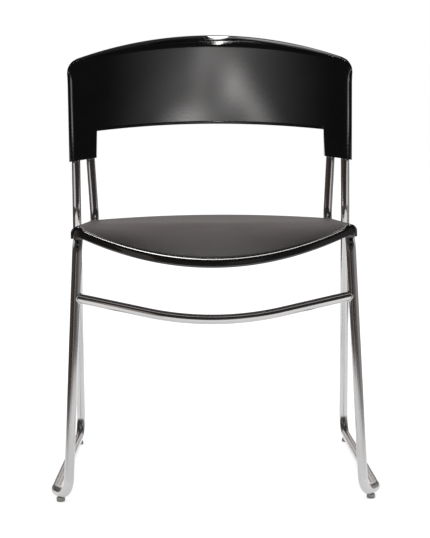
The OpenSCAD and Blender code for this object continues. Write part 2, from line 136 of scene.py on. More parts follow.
def end_recipe(tree, shape, material):
    shape = add_node(tree, "GeometryNodeRealizeInstances", None, {"Geometry": shape})
    shape = add_node(tree, "GeometryNodeSetMaterial", None, {"Geometry": shape, "Material": material})
    tree.links.new(shape.socket, tree.nodes.new("NodeGroupOutput").inputs[0])


def add_piece(name, data):
    piece = bpy.data.objects.new(name, data)
    bpy.context.scene.collection.objects.link(piece)
    return piece


def plain_mesh(piece):
    """Turns what a piece's modifiers make into its own mesh."""
    bpy.context.view_layer.update()
    seen = bpy.context.evaluated_depsgraph_get()
    mesh = bpy.data.meshes.new_from_object(piece.evaluated_get(seen), preserve_all_data_layers=True,
                                           depsgraph=seen)
    piece.modifiers.clear()
    piece.data = mesh


def face_outwards(piece, merge=1e-6):
    shape = bmesh.new()
    shape.from_mesh(piece.data)
    bmesh.ops.remove_doubles(shape, verts=shape.verts, dist=merge)
    bmesh.ops.recalc_face_normals(shape, faces=shape.faces)
    shape.to_mesh(piece.data)
    shape.free()


def smooth_up_to(piece, degrees):
    piece.data.shade_smooth()
    piece.data.set_sharp_from_angle(angle=math.radians(degrees))


def run_recipe(name, guide, tree, sizes):
    """Runs a geometry node tree on a guide mesh and leaves a plain mesh."""
    piece = add_piece(name, guide)
    step = piece.modifiers.new("recipe", "NODES")
    step.node_group = tree
    for item in tree.interface.items_tree:
        if item.in_out == "INPUT" and item.name in sizes:
            step[item.identifier] = sizes[item.name]
    plain_mesh(piece)
    face_outwards(piece)
    return piece


def guide_line(name, corners, bends, closed=False):
    """A line of edges whose points carry the radius of the bend there."""
    mesh = bpy.data.meshes.new(name)
    count = len(corners)
    mesh.from_pydata(corners, [(i, (i + 1) % count) for i in range(count if closed else count - 1)], [])
    mesh.attributes.new("bend radius", "FLOAT", "POINT").data.foreach_set("value", bends)
    return mesh


chrome, tree, place = start_material("polished chrome")
wave = noise(tree, place, 16, 1.0)
haze = noise(tree, place, 9, 4.0, 0.6)
height = add_node(tree, "ShaderNodeSeparateXYZ", None, {"Vector": place}, output="Z")
scuffed = ramp(tree, height + haze * 0.06, (0.045, 1.0), (0.30, 0.0))
end_material(tree, {
    "Base Color": ramp(tree, haze, (0.3, (0.50, 0.495, 0.495)), (0.7, (0.57, 0.56, 0.56))),
    "Metallic": 1.0,
    "Roughness": 0.10 + haze * 0.05 + scuffed * 0.14,
    "Normal": bump(tree, wave, 0.15, 0.0004),
})

tube_recipe, given = start_recipe("bent tube", {
    "Outside radius": "NodeSocketFloat", "Steps per bend": "NodeSocketInt", "Sides": "NodeSocketInt",
    "Finish": "NodeSocketMaterial"})
bend_radius = add_node(tube_recipe, "GeometryNodeInputNamedAttribute", {"data_type": "FLOAT"},
                       {"Name": "bend radius"})
line = add_node(tube_recipe, "GeometryNodeMeshToCurve", None, {"Mesh": given["Geometry"]})
line = add_node(tube_recipe, "GeometryNodeFilletCurve", {"mode": "POLY"},
                {"Curve": line, "Count": given["Steps per bend"], "Radius": bend_radius})
ring = add_node(tube_recipe, "GeometryNodeCurvePrimitiveCircle", None,
                {"Resolution": given["Sides"], "Radius": given["Outside radius"]})
skin = add_node(tube_recipe, "GeometryNodeCurveToMesh", None, {"Curve": line, "Profile Curve": ring})
end_recipe(tube_recipe, skin, given["Finish"])


def bent_tube(name, corners, bends, radius, wall, steps=16):
    """A hollow tube along straight lines joined by bends."""
    piece = run_recipe(name, guide_line(name, corners, bends), tube_recipe, {
        "Outside radius": radius, "Steps per bend": steps, "Sides": 48, "Finish": chrome})
    hollow = piece.modifiers.new("wall", "SOLIDIFY")
    hollow.thickness = wall
    hollow.offset = -1
    plain_mesh(piece)
    smooth_up_to(piece, 40)
    return piece


tube_radius = 0.008
tube_wall = 0.0015
low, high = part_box("glide_front_right")
glide_behind_line = 0.002
glide_line_y = (low.y + high.y) / 2 - glide_behind_line
back_lean = math.radians(12)


def at(x, depth, z):
    """A point by its depth behind the line of the front glides."""
    return Vector((x, depth + glide_line_y, z))


runner_z = 0.015
kink_z = 0.455
kink_depth = 0.398
rail_depth = 0.404
upright_rise = 0.225
upright_top_z = kink_z + upright_rise
upright_run = upright_rise * math.tan(back_lean)
kink = at(0.251, kink_depth, kink_z)
outer_top = at(0.255, kink_depth + upright_run, upright_top_z)
inner_top = at(0.235, rail_depth + upright_run, upright_top_z)
rail_rear = at(0.2175, rail_depth, 0.4245)
rail_front = at(0.2195, 0.004, 0.440)
foot_front = at(0.2395, -0.022, runner_z)
bulge = at(0.264, 0.018, runner_z)
foot_rear = at(0.2555, 0.475, runner_z)
frame_corners = [inner_top, rail_rear, rail_front, foot_front, bulge, foot_rear, kink, outer_top]
frame_bends = [0, 0.035, 0.035, 0.026, 0.030, 0.032, 0.060, 0]
sides = {"left": Vector((-1, 1, 1)), "right": Vector((1, 1, 1))}

for word, side in sides.items():
    piece = bent_tube("tube_frame_" + word, [p * side for p in frame_corners], frame_bends, tube_radius,
                      tube_wall)
    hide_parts("frame_" + word)
    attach(piece, "root")

# Stretchers: two tubes tie the side frames together. The front one is the same 16 mm tube, bowed down and
# forward. The rear one is straight, 14 mm, and hidden under the seat. Their ends are coped to the frames.


def towards(a, b, share):
    return a + (b - a) * share


def on_leg(z):
    """Centre of the right front leg at height z."""
    return towards(foot_front, rail_front, (z - foot_front.z) / (rail_front.z - foot_front.z))


def on_rail(y):
    """Centre of the right rail at y in the row frame."""
    return towards(rail_front, rail_rear, (y - rail_front.y) / (rail_rear.y - rail_front.y))


stretcher_z = 0.335
stretcher_inset = 0.004
stretcher_bow = 0.037
stretcher_drop = 0.044
stretcher_bend = 0.430
stretcher_end = on_leg(stretcher_z) - Vector((stretcher_inset, 0, 0))
stretcher_low = Vector((0, stretcher_end.y - stretcher_bow, stretcher_end.z - stretcher_drop))
piece = bent_tube("bowed_front_stretcher", [stretcher_end * sides["left"], stretcher_low, stretcher_end],
                  [0, stretcher_bend, 0], tube_radius, tube_wall, 48)
front_bar = piece
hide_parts("front_stretcher")
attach(piece, "root")

rear_tube_radius = 0.007
rear_depth = 0.340
rear_inset = 0.005
rear_drop = 0.002
rear_end = on_rail(glide_line_y + rear_depth) - Vector((rear_inset, 0, rear_drop))
piece = bent_tube("straight_rear_stretcher", [rear_end * sides["left"], rear_end], [0, 0], rear_tube_radius,
                  tube_wall)
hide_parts("rear_stretcher")
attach(piece, "root")

# Welds: a bead runs round each stretcher's end and along both sides of each seat tab. They are brazed
# before plating, so they have the chrome's colour with ripples and a duller surface.

weld_chrome, tree, place = start_material("chromed weld")
ripple = noise(tree, place, 900, 3.0)
end_material(tree, {
    "Base Color": ramp(tree, ripple, (0.3, (0.50, 0.49, 0.48)), (0.7, (0.72, 0.71, 0.70))),
    "Metallic": 1.0,
    "Roughness": 0.2 + ripple * 0.2,
    "Normal": bump(tree, ripple, 0.4, 0.0006),
})

weld_recipe, given = start_recipe("weld bead", {
    "Bead radius": "NodeSocketFloat", "Ripple length": "NodeSocketFloat", "Ripple share": "NodeSocketFloat",
    "Finish": "NodeSocketMaterial"})
line = add_node(weld_recipe, "GeometryNodeMeshToCurve", None, {"Mesh": given["Geometry"]})
line = add_node(weld_recipe, "GeometryNodeResampleCurve", {"mode": "LENGTH"},
                {"Curve": line, "Length": given["Ripple length"] * 0.2})
along = add_node(weld_recipe, "GeometryNodeSplineParameter", output="Length")
phase = along.sum_with("DIVIDE", along, given["Ripple length"]) * math.tau
swell = phase.sum_with("SINE", phase, 0.0) * given["Ripple share"] + 1.0
line = add_node(weld_recipe, "GeometryNodeSetCurveRadius", None, {"Curve": line, "Radius": swell})
ring = add_node(weld_recipe, "GeometryNodeCurvePrimitiveCircle", None,
                {"Resolution": 12, "Radius": given["Bead radius"]})
skin = add_node(weld_recipe, "GeometryNodeCurveToMesh", None,
                {"Curve": line, "Profile Curve": ring, "Fill Caps": True})
end_recipe(weld_recipe, skin, given["Finish"])


def saddle(end, inward, radius, host, host_along, host_radius, steps=48):
    """The line where a tube that runs inward from its end meets the tube that carries it."""
    across = inward.cross(Vector((0, 0, 1))).normalized()
    up = across.cross(inward).normalized()
    points = []
    for step in range(steps):
        turn = math.tau * step / steps
        spot = end + across * radius * math.cos(turn) + up * radius * math.sin(turn)
        start = spot - host
        start_off = start - host_along * start.dot(host_along)
        inward_off = inward - host_along * inward.dot(host_along)
        a = inward_off.dot(inward_off)
        b = start_off.dot(inward_off)
        c = start_off.dot(start_off) - host_radius ** 2
        reach = (-b + math.sqrt(max(0, b * b - a * c))) / a
        points.append(spot + inward * reach)
    return points


ripple_length = 0.0022
ripple_share = 0.10


def weld(name, points, radius, closed):
    piece = run_recipe(name, guide_line(name, points, [0] * len(points), closed), weld_recipe, {
        "Bead radius": radius, "Ripple length": ripple_length, "Ripple share": ripple_share,
        "Finish": weld_chrome})
    smooth_up_to(piece, 60)
    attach(piece, "root")


skin_lift = 0.0001
loop_bead_radius = 0.0013
tab_bead_radius = 0.001
tab_bead_half = 0.012
tab_bead_lift = 0.0002
tab_depths = {"front": 0.090, "rear": 0.300}
tab_faces = {"top": -0.001, "bottom": -0.004}
leg_along = (rail_front - foot_front).normalized()
rail_along = (rail_rear - rail_front).normalized()
front_loop = saddle(stretcher_end, (stretcher_low - stretcher_end).normalized(), tube_radius + skin_lift,
                    on_leg(stretcher_z), leg_along, tube_radius + skin_lift)
rear_loop = saddle(rear_end, Vector((-1, 0, 0)), rear_tube_radius + skin_lift, on_rail(rear_end.y),
                   rail_along, tube_radius + skin_lift)
for word, side in sides.items():
    weld("weld_front_stretcher_" + word, [p * side for p in front_loop], loop_bead_radius, True)
    weld("weld_rear_stretcher_" + word, [p * side for p in rear_loop], loop_bead_radius, True)
    for name, depth in tab_depths.items():
        for face, level in tab_faces.items():
            span = [on_rail(glide_line_y + depth + reach) for reach in (-tab_bead_half, tab_bead_half)]
            edge = math.sqrt(tube_radius ** 2 - level ** 2) + tab_bead_lift
            points = [(p + Vector((-edge, 0, level))) * side for p in span]
            weld("weld_tab_%s_%s_%s" % (name, word, face), points, tab_bead_radius, False)

# Seat tabs: four plates of 3 mm steel, welded to the rails and plated with them. Each takes a screw from
# below into the seat.


def paint(piece, material):
    piece.data.materials.clear()
    piece.data.materials.append(material)


corner_names = ["%s_%s" % (name, word) for name in tab_depths for word in sides]
for name in corner_names:
    paint(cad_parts["seat_tab_" + name], chrome)

# Seat: one moulding in dark polypropylene, 2.5 mm thick, with a fine spark eroded grain on top. Its front
# falls in a waterfall that bows forward and ends in a lip, polished by legs and trousers. The top behind the
# lip is darkened towards black as painted shade. Its sides wrap over the rails, and four bosses underneath
# take the screws.

seat_black, tree, place = start_material("grained seat plastic")
grain = noise(tree, place, 1500, 3.0, 0.6)
clouds = noise(tree, place, 11, 3.0, 0.6)
scratches = add_node(tree, "ShaderNodeMapping", None, {"Vector": place, "Scale": (60, 900, 60)})
scratches = ramp(tree, noise(tree, scratches, 1.0, 2.0), (0.62, 0.0), (0.72, 1.0))
# This attribute makes the polished lip near black, and also darkens a band of the top behind the lip towards
# that black: painted shade.
polish_and_shade = add_node(tree, "ShaderNodeAttribute", {"attribute_name": "lip polish"}, output="Fac")
end_material(tree, {
    "Base Color": add_node(tree, "ShaderNodeMix", {"data_type": "RGBA"}, {
        "Factor": polish_and_shade, 6: ramp(tree, clouds, (0.3, (0.114, 0.100, 0.097)), (0.7, (0.141, 0.125, 0.121))),
        7: (0.006, 0.0055, 0.0055, 1)}, output=2),
    "Roughness": (ramp(tree, polish_and_shade, (0.0, 0.47), (0.8, 0.40), (1.0, 0.11))
                  + clouds * 0.05 - scratches * 0.05),
    "Coat Weight": ramp(tree, polish_and_shade, (0.8, 0.0), (1.0, 1.0)),
    "Coat Roughness": 0.06,
    "Normal": bump(tree, grain * (1 - polish_and_shade), 0.35, 0.0003),
})

seat_wall = 0.0025
seat_side_r = 0.0108
dip_end_share = 1.02
panel_share = 0.954
lip_r = 0.0065
lip_h = 0.0145
skirt_drop = 0.009
seat_corner = at(0, -0.0035, 0).y
seat_rear = at(0, 0.360, 0).y
front_bow = 0.031
rear_bow = 0.035
dip_depth = 0.052
waterfall_reach = 0.190
rear_crown = 0.0075


def seat_front_y(s):
    return seat_corner - front_bow * (1 - s * s)


def seat_rear_y(s):
    return seat_rear + rear_bow * (1 - s * s)


def seat_top_z(s, y):
    """Height of the seat's top at a share s of its half width."""
    dip = dip_depth * (1 - (s / dip_end_share) ** 2)
    fall = max(0, 1 - (y - seat_front_y(s)) / waterfall_reach) ** 2
    rise = rear_crown * (1 - s * s) * max(0, (y - glide_line_y) / (seat_rear_y(s) - glide_line_y)) ** 2
    return on_rail(y).z + seat_side_r - dip * fall + rise


def even(count, first, last):
    return [first + (last - first) * i / (count - 1) for i in range(count)]


# A row is its share of the way to the front, the turns of its rear and front lips, and its share of the way
# down the lip's face.
seat_rows = [(0, turn, 0, 0) for turn in even(6, 90, 15)] + [(share, 0, 0, 0) for share in even(56, 0, 1)]
seat_rows += [(1, 0, turn, 0) for turn in even(13, 6.43, 90)] + [(1, 0, 90, down) for down in (0.3, 0.6, 1)]
side_turns = even(19, 0, 135)
turns_to_top = 13


def rounding(row, inset):
    """How far a row's lips draw it outwards and down."""
    r = lip_r - inset
    rear, front = math.radians(row[1]), math.radians(row[2])
    return r * (math.sin(rear) - math.sin(front)), r * (2 - math.cos(rear) - math.cos(front))


def panel_level(s, y, row, inset):
    return seat_top_z(s, y) - inset - rounding(row, inset)[1]


def seat_panel_point(s, row, inset):
    y = towards(seat_rear_y(s), seat_front_y(s), row[0])
    bottom = seat_top_z(s, y) - lip_h
    z = towards(panel_level(s, y, row, inset), bottom, row[3])
    return Vector((s * on_rail(y).x, y + rounding(row, inset)[0], z))


def seat_side_point(k, side, row, inset):
    """Point k round the rail, from the skirt's lower edge over the top to the panel."""
    y = towards(seat_rear_y(1), seat_front_y(1), row[0])
    rail = on_rail(y)
    radius = seat_side_r - inset - rounding((0, 0, row[2]), inset)[1]
    turn = math.radians(side_turns[max(0, k - 1)])
    x = radius * math.cos(turn)
    z = radius * math.sin(turn) if k else -skirt_drop
    if k > turns_to_top:
        z = max(z, panel_level(1 + x / rail.x, y, row, inset) - rail.z)
    else:
        x = towards(x, radius * (1 - (k + 0.5) / (turns_to_top + 0.5)), row[3])
    z = towards(z, -skirt_drop - lip_r / 4, row[3])
    return Vector((side * (rail.x + x), y + rounding(row, inset)[0], rail.z + z))


def seat_face(inset):
    turns = range(len(side_turns) + 1)
    left = [[seat_side_point(k, -1, row, inset) for row in seat_rows] for k in turns]
    middle = [[seat_panel_point(s * panel_share, row, inset) for row in seat_rows] for s in even(121, -1, 1)]
    right = [[seat_side_point(k, 1, row, inset) for row in seat_rows] for k in reversed(turns)]
    return left + middle + right


def closed_sheet(name, outer, inner):
    """A closed mesh between an outer and an inner face of columns of points."""
    columns, rows = len(outer), len(outer[0])
    half = columns * rows
    points = [p for face in (outer, inner) for column in face for p in column]
    faces = []
    for i in range(columns - 1):
        for j in range(rows - 1):
            a = i * rows + j
            faces.append((a, a + rows, a + rows + 1, a + 1))
            faces.append((half + a, half + a + 1, half + a + rows + 1, half + a + rows))
        for a in (i * rows, i * rows + rows - 1):
            faces.append((a, a + half, a + rows + half, a + rows))
    for j in range(rows - 1):
        for a in (j, half - rows + j):
            faces.append((a, a + 1, a + 1 + half, a + half))
    mesh = bpy.data.meshes.new(name)
    mesh.from_pydata(points, [], faces)
    piece = add_piece(name, mesh)
    face_outwards(piece)
    return piece


def ease_edges(piece, width, degrees, segments=2):
    """Rounds a moulding's sharp edges."""
    ease = piece.modifiers.new("eased edges", "BEVEL")
    ease.width = width
    ease.segments = segments
    ease.limit_method = "ANGLE"
    ease.angle_limit = math.radians(degrees)
    ease.use_clamp_overlap = True
    plain_mesh(piece)


def add_rod(name, a, b, radius, sides=48):
    """A plain rod from a to b, for bosses and for cutting bores."""
    shape = bmesh.new()
    turn = (b - a).to_track_quat("Z", "Y").to_matrix().to_4x4()
    bmesh.ops.create_cone(shape, cap_ends=True, segments=sides, radius1=radius, radius2=radius,
                          depth=(b - a).length, matrix=Matrix.Translation((a + b) / 2) @ turn)
    mesh = bpy.data.meshes.new(name)
    shape.to_mesh(mesh)
    shape.free()
    return add_piece(name, mesh)


def cut(piece, tool, operation="DIFFERENCE"):
    """Cuts a tool out of a piece, or joins it on, and removes the tool."""
    step = piece.modifiers.new("cut", "BOOLEAN")
    step.operation = operation
    step.object = tool
    step.solver = "EXACT"
    plain_mesh(piece)
    bpy.data.objects.remove(tool)


seat = closed_sheet("moulded_seat", seat_face(0), seat_face(seat_wall))
ease_edges(seat, 0.0007, 55)
tab_hole_inset = 0.017
tab_top_drop = 0.001
boss_radius = 0.005
pilot_radius = 0.00215
pilot_top = Vector((0, 0, 0.00815))
overrun = Vector((0, 0, 0.001))
tab_holes = {}
for name, depth in tab_depths.items():
    for word, side in sides.items():
        rail = on_rail(glide_line_y + depth)
        hole = Vector((side.x * (rail.x - tab_hole_inset), rail.y, rail.z - tab_top_drop))
        tab_holes["%s_%s" % (name, word)] = hole
        top = seat_top_z(abs(hole.x) / rail.x, hole.y) - seat_wall / 2
        cut(seat, add_rod("boss", hole, Vector((hole.x, hole.y, top)), boss_radius), "UNION")
        cut(seat, add_rod("pilot", hole - overrun, hole + pilot_top, pilot_radius))

# Up to 9 cm behind the front edge, the top is darkened up to 0.78 of the way to the lip's black as painted
# shade, and made slightly smoother for rubbing. The lip itself is polished.
rubbed_and_shaded_most = 0.78
rubbed_and_shaded_reach = 0.09
polished_reach = 0.002
polish_fade = 0.005
lip_polish_and_shade = seat.data.attributes.new("lip polish", "FLOAT", "POINT")
for vertex in seat.data.vertices:
    s = min(1, abs(vertex.co.x) / on_rail(vertex.co.y).x)
    behind = vertex.co.y - seat_front_y(s)
    rubbed_and_shaded = rubbed_and_shaded_most * max(0, 1 - behind / rubbed_and_shaded_reach)
    lip_polish_and_shade.data[vertex.index].value = max(rubbed_and_shaded, min(1, 1 - (behind - polished_reach) / polish_fade))
paint(seat, seat_black)
smooth_up_to(seat, 38)
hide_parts("seat_shell")
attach(seat, "root")

# Back: one moulding in black polypropylene, 4.5 mm thick, curved round the sitter and rolled over backwards
# along its arched top. A sleeve down each side takes the two tube ends of a frame.

back_black, tree, place = start_material("satin back plastic")
peel = noise(tree, place, 260, 2.0)
handled = noise(tree, place, 14, 4.0, 0.65)
wipes = add_node(tree, "ShaderNodeMapping", None,
                 {"Vector": place, "Rotation": (0, 0.5, 0), "Scale": (14, 40, 260)})
wipes = noise(tree, wipes, 1.0, 3.0)
worn = add_node(tree, "ShaderNodeAttribute", {"attribute_name": "worn edge"}, output="Fac")
end_material(tree, {
    "Base Color": ramp(tree, handled, (0.3, (0.0036, 0.0036, 0.0038)), (0.7, (0.0056, 0.0055, 0.0056))),
    "Roughness": 0.055 + handled * 0.03 + wipes * 0.02 - worn * 0.045,
    "Normal": bump(tree, peel * (1 - worn * 0.8), 0.07, 0.0003),
})

back_half = 0.2645
back_wide = 0.270
back_high = 0.7819
sleeve_in = 0.213
sleeve_low = 0.543
sleeve_depth = 0.026
back_wall = 0.0045
back_bow = 0.045
panel_low = 0.600
panel_low_bow = 0.012
sleeve_low_rise = 0.0075
sleeve_top = 0.7106
sleeve_blend = 0.0238
arch_r = 0.690
corner_r = 0.018
roll_r = 0.028
roll_taper = 0.021
edge_share = 0.2
edge_depth = 0.3
bead_proud = 0.0004
bead_high = 0.005


def on_outer_upright(z):
    return towards(kink, outer_top, (z - kink.z) / (outer_top.z - kink.z))


def on_inner_upright(z):
    return towards(rail_rear, inner_top, (z - rail_rear.z) / (inner_top.z - rail_rear.z))


def back_face_y(x, z):
    """Front face of the back at half width x and height z."""
    edge_y = on_outer_upright(z).y - sleeve_depth / 2
    edge_y -= back_bow * (1 - (on_outer_upright(sleeve_low).x / back_half) ** 2)
    return edge_y + back_bow * (1 - (x / back_half) ** 2)


def back_width(z):
    return towards(back_half, back_wide, min(1, (z - sleeve_low) / (back_high - sleeve_low)))


def back_top_z(x):
    corner = max(0, abs(x) * back_wide / back_half - (back_wide - corner_r))
    return (back_high - arch_r + math.sqrt(arch_r ** 2 - x * x)
            - corner_r + math.sqrt(max(0, corner_r ** 2 - corner ** 2)))


def back_low_z(x):
    if abs(x) < sleeve_in:
        return panel_low + panel_low_bow * (1 - (x / sleeve_in) ** 2)
    return sleeve_low + sleeve_low_rise * (back_half - abs(x)) / (back_half - sleeve_in)


def back_point(x, turn, r):
    """Point on the rolled top edge, turned from straight ahead."""
    roll = roll_r - roll_taper * (x / back_wide) ** 2
    centre_z = back_top_z(x) - roll
    centre_y = back_face_y(x, centre_z + roll * math.sin(back_lean)) + roll * math.cos(back_lean)
    return Vector((x, centre_y - (roll - r) * math.cos(turn), centre_z + (roll - r) * math.sin(turn)))


def back_column(x, rear):
    """A column of the back from the rolled edge down."""
    points = [back_point(x, math.radians(turn), back_wall if rear else 0) for turn in even(16, 115, 20)]
    for p in points:
        p.x *= back_width(p.z) / back_half
    start = back_point(x, back_lean, 0)
    into = (abs(x) - sleeve_in) / (back_half - sleeve_in)
    past = max(0, (into - 1 + edge_share) / edge_share)
    edge = edge_depth * (1 - math.sqrt(max(0, 1 - past ** 2)))
    for share in even(41, 1, 0.05) + even(9, 0.04, 0):
        z = towards(back_low_z(x), start.z, share)
        fade = max(0, min(1, (sleeve_top - z) / sleeve_blend))
        fade = fade * fade * (3 - 2 * fade)
        deep = back_wall + (sleeve_depth - back_wall) * fade * (abs(x) > sleeve_in)
        y = back_face_y(x, z) + deep * ((1 - edge) if rear else edge)
        if not rear and abs(x) < sleeve_in:
            y -= bead_proud * math.sin(math.pi * min(1, (z - back_low_z(x)) / bead_high))
        points.append(Vector((x * back_width(z) / back_half, y, z)))
    return points


sleeve_shares = [0.03, 0.08, 0.2, 0.35, 0.5, 0.65, 0.8, 0.84, 0.88, 0.92, 0.95, 0.975, 0.99, 1]
sleeve_xs = [sleeve_in + (back_half - sleeve_in) * share for share in sleeve_shares]
panel_half = 0.2121
back_xs = [-x for x in reversed(sleeve_xs)] + even(71, -panel_half, panel_half) + sleeve_xs
back = closed_sheet("moulded_back", [back_column(x, False) for x in back_xs],
                    [back_column(x, True) for x in back_xs])
ease_edges(back, 0.0009, 50, 3)
tube_fit = 0.0002
bore_start = sleeve_low - 0.016
bore_end = upright_top_z + 0.001
for side in sides.values():
    for line in (on_outer_upright, on_inner_upright):
        cut(back, add_rod("bore", line(bore_start) * side, line(bore_end) * side, tube_radius + tube_fit))

worn_reach = 0.026
worn_fade = 0.006
worn_edge = back.data.attributes.new("worn edge", "FLOAT", "POINT")
for vertex in back.data.vertices:
    x = max(-back_half, min(back_half, vertex.co.x * back_half / back_width(vertex.co.z)))
    below = back_top_z(x) - vertex.co.z
    worn_edge.data[vertex.index].value = max(0, min(1, (worn_reach - below) / worn_fade))
paint(back, back_black)
smooth_up_to(back, 35)
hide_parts("backrest_shell")
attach(back, "root")

# Screws: zinc plated pan heads with a hexagon socket. Four go up through the tabs into the seat, and two
# go forward through the sleeves into the outer uprights.

zinc, tree, place = start_material("zinc plated steel")
spangle = noise(tree, place, 420, 3.0)
end_material(tree, {
    "Base Color": ramp(tree, spangle, (0.3, (0.42, 0.42, 0.44)), (0.7, (0.58, 0.58, 0.59))),
    "Metallic": 1.0,
    "Roughness": 0.28 + spangle * 0.18,
    "Normal": bump(tree, spangle, 0.2, 0.0002),
})


def lathe(name, profile, sides=48):
    """A turned shape round +Z from points (radius, height), which starts and ends on the axis."""
    shape = bmesh.new()
    rings = []
    for radius, height in profile:
        if radius == 0:
            rings.append([shape.verts.new((0, 0, height))] * sides)
        else:
            rings.append([shape.verts.new((radius * math.cos(math.tau * i / sides),
                                           radius * math.sin(math.tau * i / sides), height))
                          for i in range(sides)])
    for lower, upper in zip(rings, rings[1:]):
        for i in range(sides):
            corners = [lower[i], lower[(i + 1) % sides], upper[(i + 1) % sides], upper[i]]
            shape.faces.new(list(dict.fromkeys(corners)))
    bmesh.ops.recalc_face_normals(shape, faces=shape.faces)
    mesh = bpy.data.meshes.new(name)
    shape.to_mesh(mesh)
    shape.free()
    return add_piece(name, mesh)


screw_radius = 0.002
root_radius = 0.0017
tip_radius = 0.0012
tip_length = 0.001
thread_pitch = 0.0007
thread_start = 0.0004
head_radius = 0.004
head_height = 0.0024
head_ease = 0.0008
socket_radius = 0.00144
socket_depth = 0.0012


def screw(name, length):
    """A screw along +Z with its head below 0."""
    rim = head_height - head_ease
    dome = [(head_radius - head_ease * (1 - math.cos(t)), -rim - head_ease * math.sin(t))
            for t in even(6, 0, math.pi / 2)]
    thread = []
    for i in range(int((length - tip_length) / thread_pitch)):
        crest = thread_start + i * thread_pitch
        thread += [(screw_radius, crest), (root_radius, crest + thread_pitch / 2)]
    piece = lathe(name, [(0, -head_height)] + list(reversed(dome)) + [(head_radius, 0), (screw_radius, 0)]
                  + thread + [(tip_radius, length), (0, length)])
    below_head = Vector((0, 0, -head_radius))
    cut(piece, add_rod("socket", below_head, Vector((0, 0, -socket_depth)), socket_radius, 6))
    return piece


screw_recipe, given = start_recipe("screws at points", {
    "Screw": "NodeSocketObject", "Finish": "NodeSocketMaterial"})
axis = add_node(screw_recipe, "GeometryNodeInputNamedAttribute", {"data_type": "FLOAT_VECTOR"},
                {"Name": "axis"})
turn = add_node(screw_recipe, "FunctionNodeAlignRotationToVector", {"axis": "Z"}, {"Vector": axis})
shape = add_node(screw_recipe, "GeometryNodeObjectInfo", None, {"Object": given["Screw"]}, output="Geometry")
shape = add_node(screw_recipe, "GeometryNodeInstanceOnPoints", None,
                 {"Points": given["Geometry"], "Instance": shape, "Rotation": turn})
end_recipe(screw_recipe, shape, given["Finish"])


def screws(name, length, places, axes, nodes):
    guide = bpy.data.meshes.new(name)
    guide.from_pydata(places, [], [])
    data = guide.attributes.new("axis", "FLOAT_VECTOR", "POINT").data
    data.foreach_set("vector", [value for axis in axes for value in axis])
    pattern = screw("pattern", length)
    piece = run_recipe(name, guide, screw_recipe, {"Screw": pattern, "Finish": zinc})
    bpy.data.objects.remove(pattern)
    smooth_up_to(piece, 40)
    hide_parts(*nodes)
    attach(piece, "root")


seat_screw_length = 0.011
back_screw_length = 0.009
back_screw_z = 0.604
tab_thick = Vector((0, 0, 0.003))
screws("seat_screws", seat_screw_length, [hole - tab_thick for hole in tab_holes.values()],
       [(0, 0, 1)] * len(tab_holes), ["seat_screw_" + name for name in tab_holes])
upright_along = (outer_top - kink).normalized()
back_screw_axis = Vector((0, upright_along.z, -upright_along.y)).normalized()
back_screw_seat = on_outer_upright(back_screw_z) + back_screw_axis * (tube_radius + tube_fit + head_height)
screws("back_screws", back_screw_length, [back_screw_seat * side for side in sides.values()],
       [-back_screw_axis] * len(sides), ["back_screw_" + word for word in sides])

# Glides: four turned buttons of grey nylon that stand the runners clear of the floor. A stem goes up into a
# hole in the tube. Their feet are worn and a little dirty.

grey_nylon, tree, place = start_material("grey nylon")
height = add_node(tree, "ShaderNodeSeparateXYZ", None, {"Vector": place}, output="Z")
dirt = ramp(tree, noise(tree, place, 160, 4.0) - height * 60, (0.1, 0.0), (0.55, 1.0))
end_material(tree, {
    "Base Color": add_node(tree, "ShaderNodeMix", {"data_type": "RGBA"}, {
        "Factor": dirt, 6: (0.42, 0.42, 0.39, 1), 7: (0.20, 0.19, 0.175, 1)}, output=2),
    "Roughness": 0.42 + dirt * 0.3,
    "Normal": bump(tree, noise(tree, place, 900, 2.0), 0.15, 0.0002),
})

glide_radius = 0.007
glide_height = 0.007
stem_radius = 0.003
stem_top = 0.016
glide_profile = [(0, 0), (0.0052, 0), (0.0058, 0.0002), (0.0067, 0.0010), (glide_radius, 0.0018),
                 (glide_radius, 0.0064), (0.0067, 0.0069), (0.0063, glide_height),
                 (stem_radius, glide_height), (stem_radius, 0.0155), (0.0026, stem_top), (0, stem_top)]
for name in corner_names:
    low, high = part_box("glide_" + name)
    piece = lathe("nylon_glide_" + name, glide_profile)
    piece.data.transform(Matrix.Translation(((low.x + high.x) / 2, (low.y + high.y) / 2, 0)))
    paint(piece, grey_nylon)
    smooth_up_to(piece, 45)
    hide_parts("glide_" + name)
    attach(piece, "root")

# Floor and studio: a white paper floor runs out in front into a dark room. The room's walls, ceiling, window
# and lights are cards that show only in reflections, some of them on one piece alone. An even sky and two
# soft lamps light the chair.

paper, tree = start_material("white paper")[:2]
ray = tree.nodes.new("ShaderNodeLightPath")
seen = Signal(tree, ray.outputs["Is Camera Ray"])
seen = seen.sum_with("MAXIMUM", seen, Signal(tree, ray.outputs["Is Glossy Ray"]))
lit = add_node(tree, "ShaderNodeBsdfDiffuse", None, {"Color": (0.80, 0.80, 0.80, 1)})
glow = add_node(tree, "ShaderNodeEmission", None, {"Color": (1, 1, 1, 1), "Strength": 0.60})
glow = add_node(tree, "ShaderNodeMixShader", None, {0: seen, 2: glow})
paper_shader = add_node(tree, "ShaderNodeAddShader", None, {0: lit, 1: glow})
add_node(tree, "ShaderNodeOutputMaterial", None, {"Surface": paper_shader})


def glow_material(name, colour):
    material, tree = start_material(name)[:2]
    tone = add_node(tree, "ShaderNodeEmission", None, {"Color": (*colour, 1), "Strength": 1.0})
    add_node(tree, "ShaderNodeOutputMaterial", None, {"Surface": tone})
    return material


def panel(name, corners, material):
    mesh = bpy.data.meshes.new(name)
    mesh.from_pydata(corners, [], [tuple(range(len(corners)))])
    mesh.materials.append(material)
    piece = add_piece(name, mesh)
    return piece


